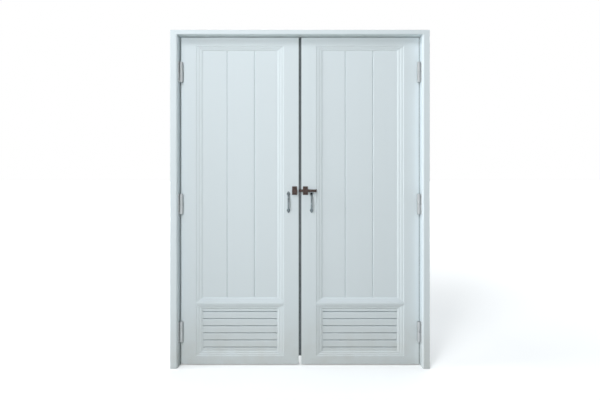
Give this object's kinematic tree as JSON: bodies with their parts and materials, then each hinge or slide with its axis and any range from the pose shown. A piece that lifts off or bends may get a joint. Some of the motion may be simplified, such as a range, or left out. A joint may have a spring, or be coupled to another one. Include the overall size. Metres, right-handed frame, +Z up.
{
  "type": "upvc double door",
  "caption": "White uPVC double door in its frame, each leaf a grooved plank panel above a louvre, with barrel hinges, bow pull handles and a bronze barrel bolt",
  "frame": {"origin": "on the floor, at the middle of the frame's width and depth", "axes": "+X along the door to the right of a viewer at -Y, -Y the side the leaves open towards, +Z up"},
  "size_m": [1.552, 0.1, 2.026],
  "materials": {
    "white_upvc": "satin white uPVC profile",
    "satin_steel": "satin steel hinges",
    "zinc_plated_steel": "bright zinc plate",
    "chrome_plate": "polished chrome plate",
    "bronzed_steel": "dark bronze, satin",
    "dark_rubber": "matt extruded seal"
  },
  "bodies": {
    "frame": {"left_jamb": "white_upvc", "right_jamb": "white_upvc", "head": "white_upvc", "jamb_steels": "zinc_plated_steel", "head_steel": "zinc_plated_steel", "frame_seals": "dark_rubber", "left_hinge_low_frame_half": "satin_steel", "left_hinge_mid_frame_half": "satin_steel", "left_hinge_top_frame_half": "satin_steel", "right_hinge_low_frame_half": "satin_steel", "right_hinge_mid_frame_half": "satin_steel", "right_hinge_top_frame_half": "satin_steel", "left_hinge_pins": "zinc_plated_steel", "left_hinge_frame_screws": "zinc_plated_steel", "right_hinge_pins": "zinc_plated_steel", "right_hinge_frame_screws": "zinc_plated_steel"},
    "left_leaf": {"left_hinge_low_leaf_half": "satin_steel", "left_hinge_mid_leaf_half": "satin_steel", "left_hinge_top_leaf_half": "satin_steel", "left_hinge_leaf_screws": "zinc_plated_steel", "left_hinge_stile": "white_upvc", "left_meeting_stile": "white_upvc", "left_top_rail": "white_upvc", "left_mid_rail": "white_upvc", "left_bottom_rail": "white_upvc", "left_hinge_plank": "white_upvc", "left_middle_plank": "white_upvc", "left_meeting_plank": "white_upvc", "left_panel_beads": "white_upvc", "left_louvre_beads": "white_upvc", "left_louvre_slats": "white_upvc", "left_stile_steels": "zinc_plated_steel", "left_meeting_seal": "dark_rubber", "left_pull_handle": "chrome_plate", "left_handle_screws": "zinc_plated_steel", "bolt_keeper": "bronzed_steel", "bolt_keeper_screws": "bronzed_steel"},
    "right_leaf": {"right_hinge_low_leaf_half": "satin_steel", "right_hinge_mid_leaf_half": "satin_steel", "right_hinge_top_leaf_half": "satin_steel", "right_hinge_leaf_screws": "zinc_plated_steel", "right_hinge_stile": "white_upvc", "right_meeting_stile": "white_upvc", "right_top_rail": "white_upvc", "right_mid_rail": "white_upvc", "right_bottom_rail": "white_upvc", "right_hinge_plank": "white_upvc", "right_middle_plank": "white_upvc", "right_meeting_plank": "white_upvc", "right_panel_beads": "white_upvc", "right_louvre_beads": "white_upvc", "right_louvre_slats": "white_upvc", "right_stile_steels": "zinc_plated_steel", "right_meeting_seal": "dark_rubber", "right_pull_handle": "chrome_plate", "right_handle_screws": "zinc_plated_steel", "bolt_guide": "bronzed_steel", "bolt_guide_screws": "bronzed_steel"},
    "bolt": {"bolt_rod": "bronzed_steel"}
  },
  "joints": [
    {"name": "left_leaf_hinge", "type": "hinge", "parent": "frame", "child": "left_leaf", "pos_m": [-0.7205, -0.0105, 1], "axis": [0, 0, -1], "range_deg": [0, 100]},
    {"name": "right_leaf_hinge", "type": "hinge", "parent": "frame", "child": "right_leaf", "pos_m": [0.7205, -0.0105, 1], "axis": [0, 0, 1], "range_deg": [0, 100]},
    {"name": "bolt_slide", "type": "slide", "parent": "right_leaf", "child": "bolt", "axis": [-1, 0, 0], "range_m": [0, 0.036]}
  ]
}
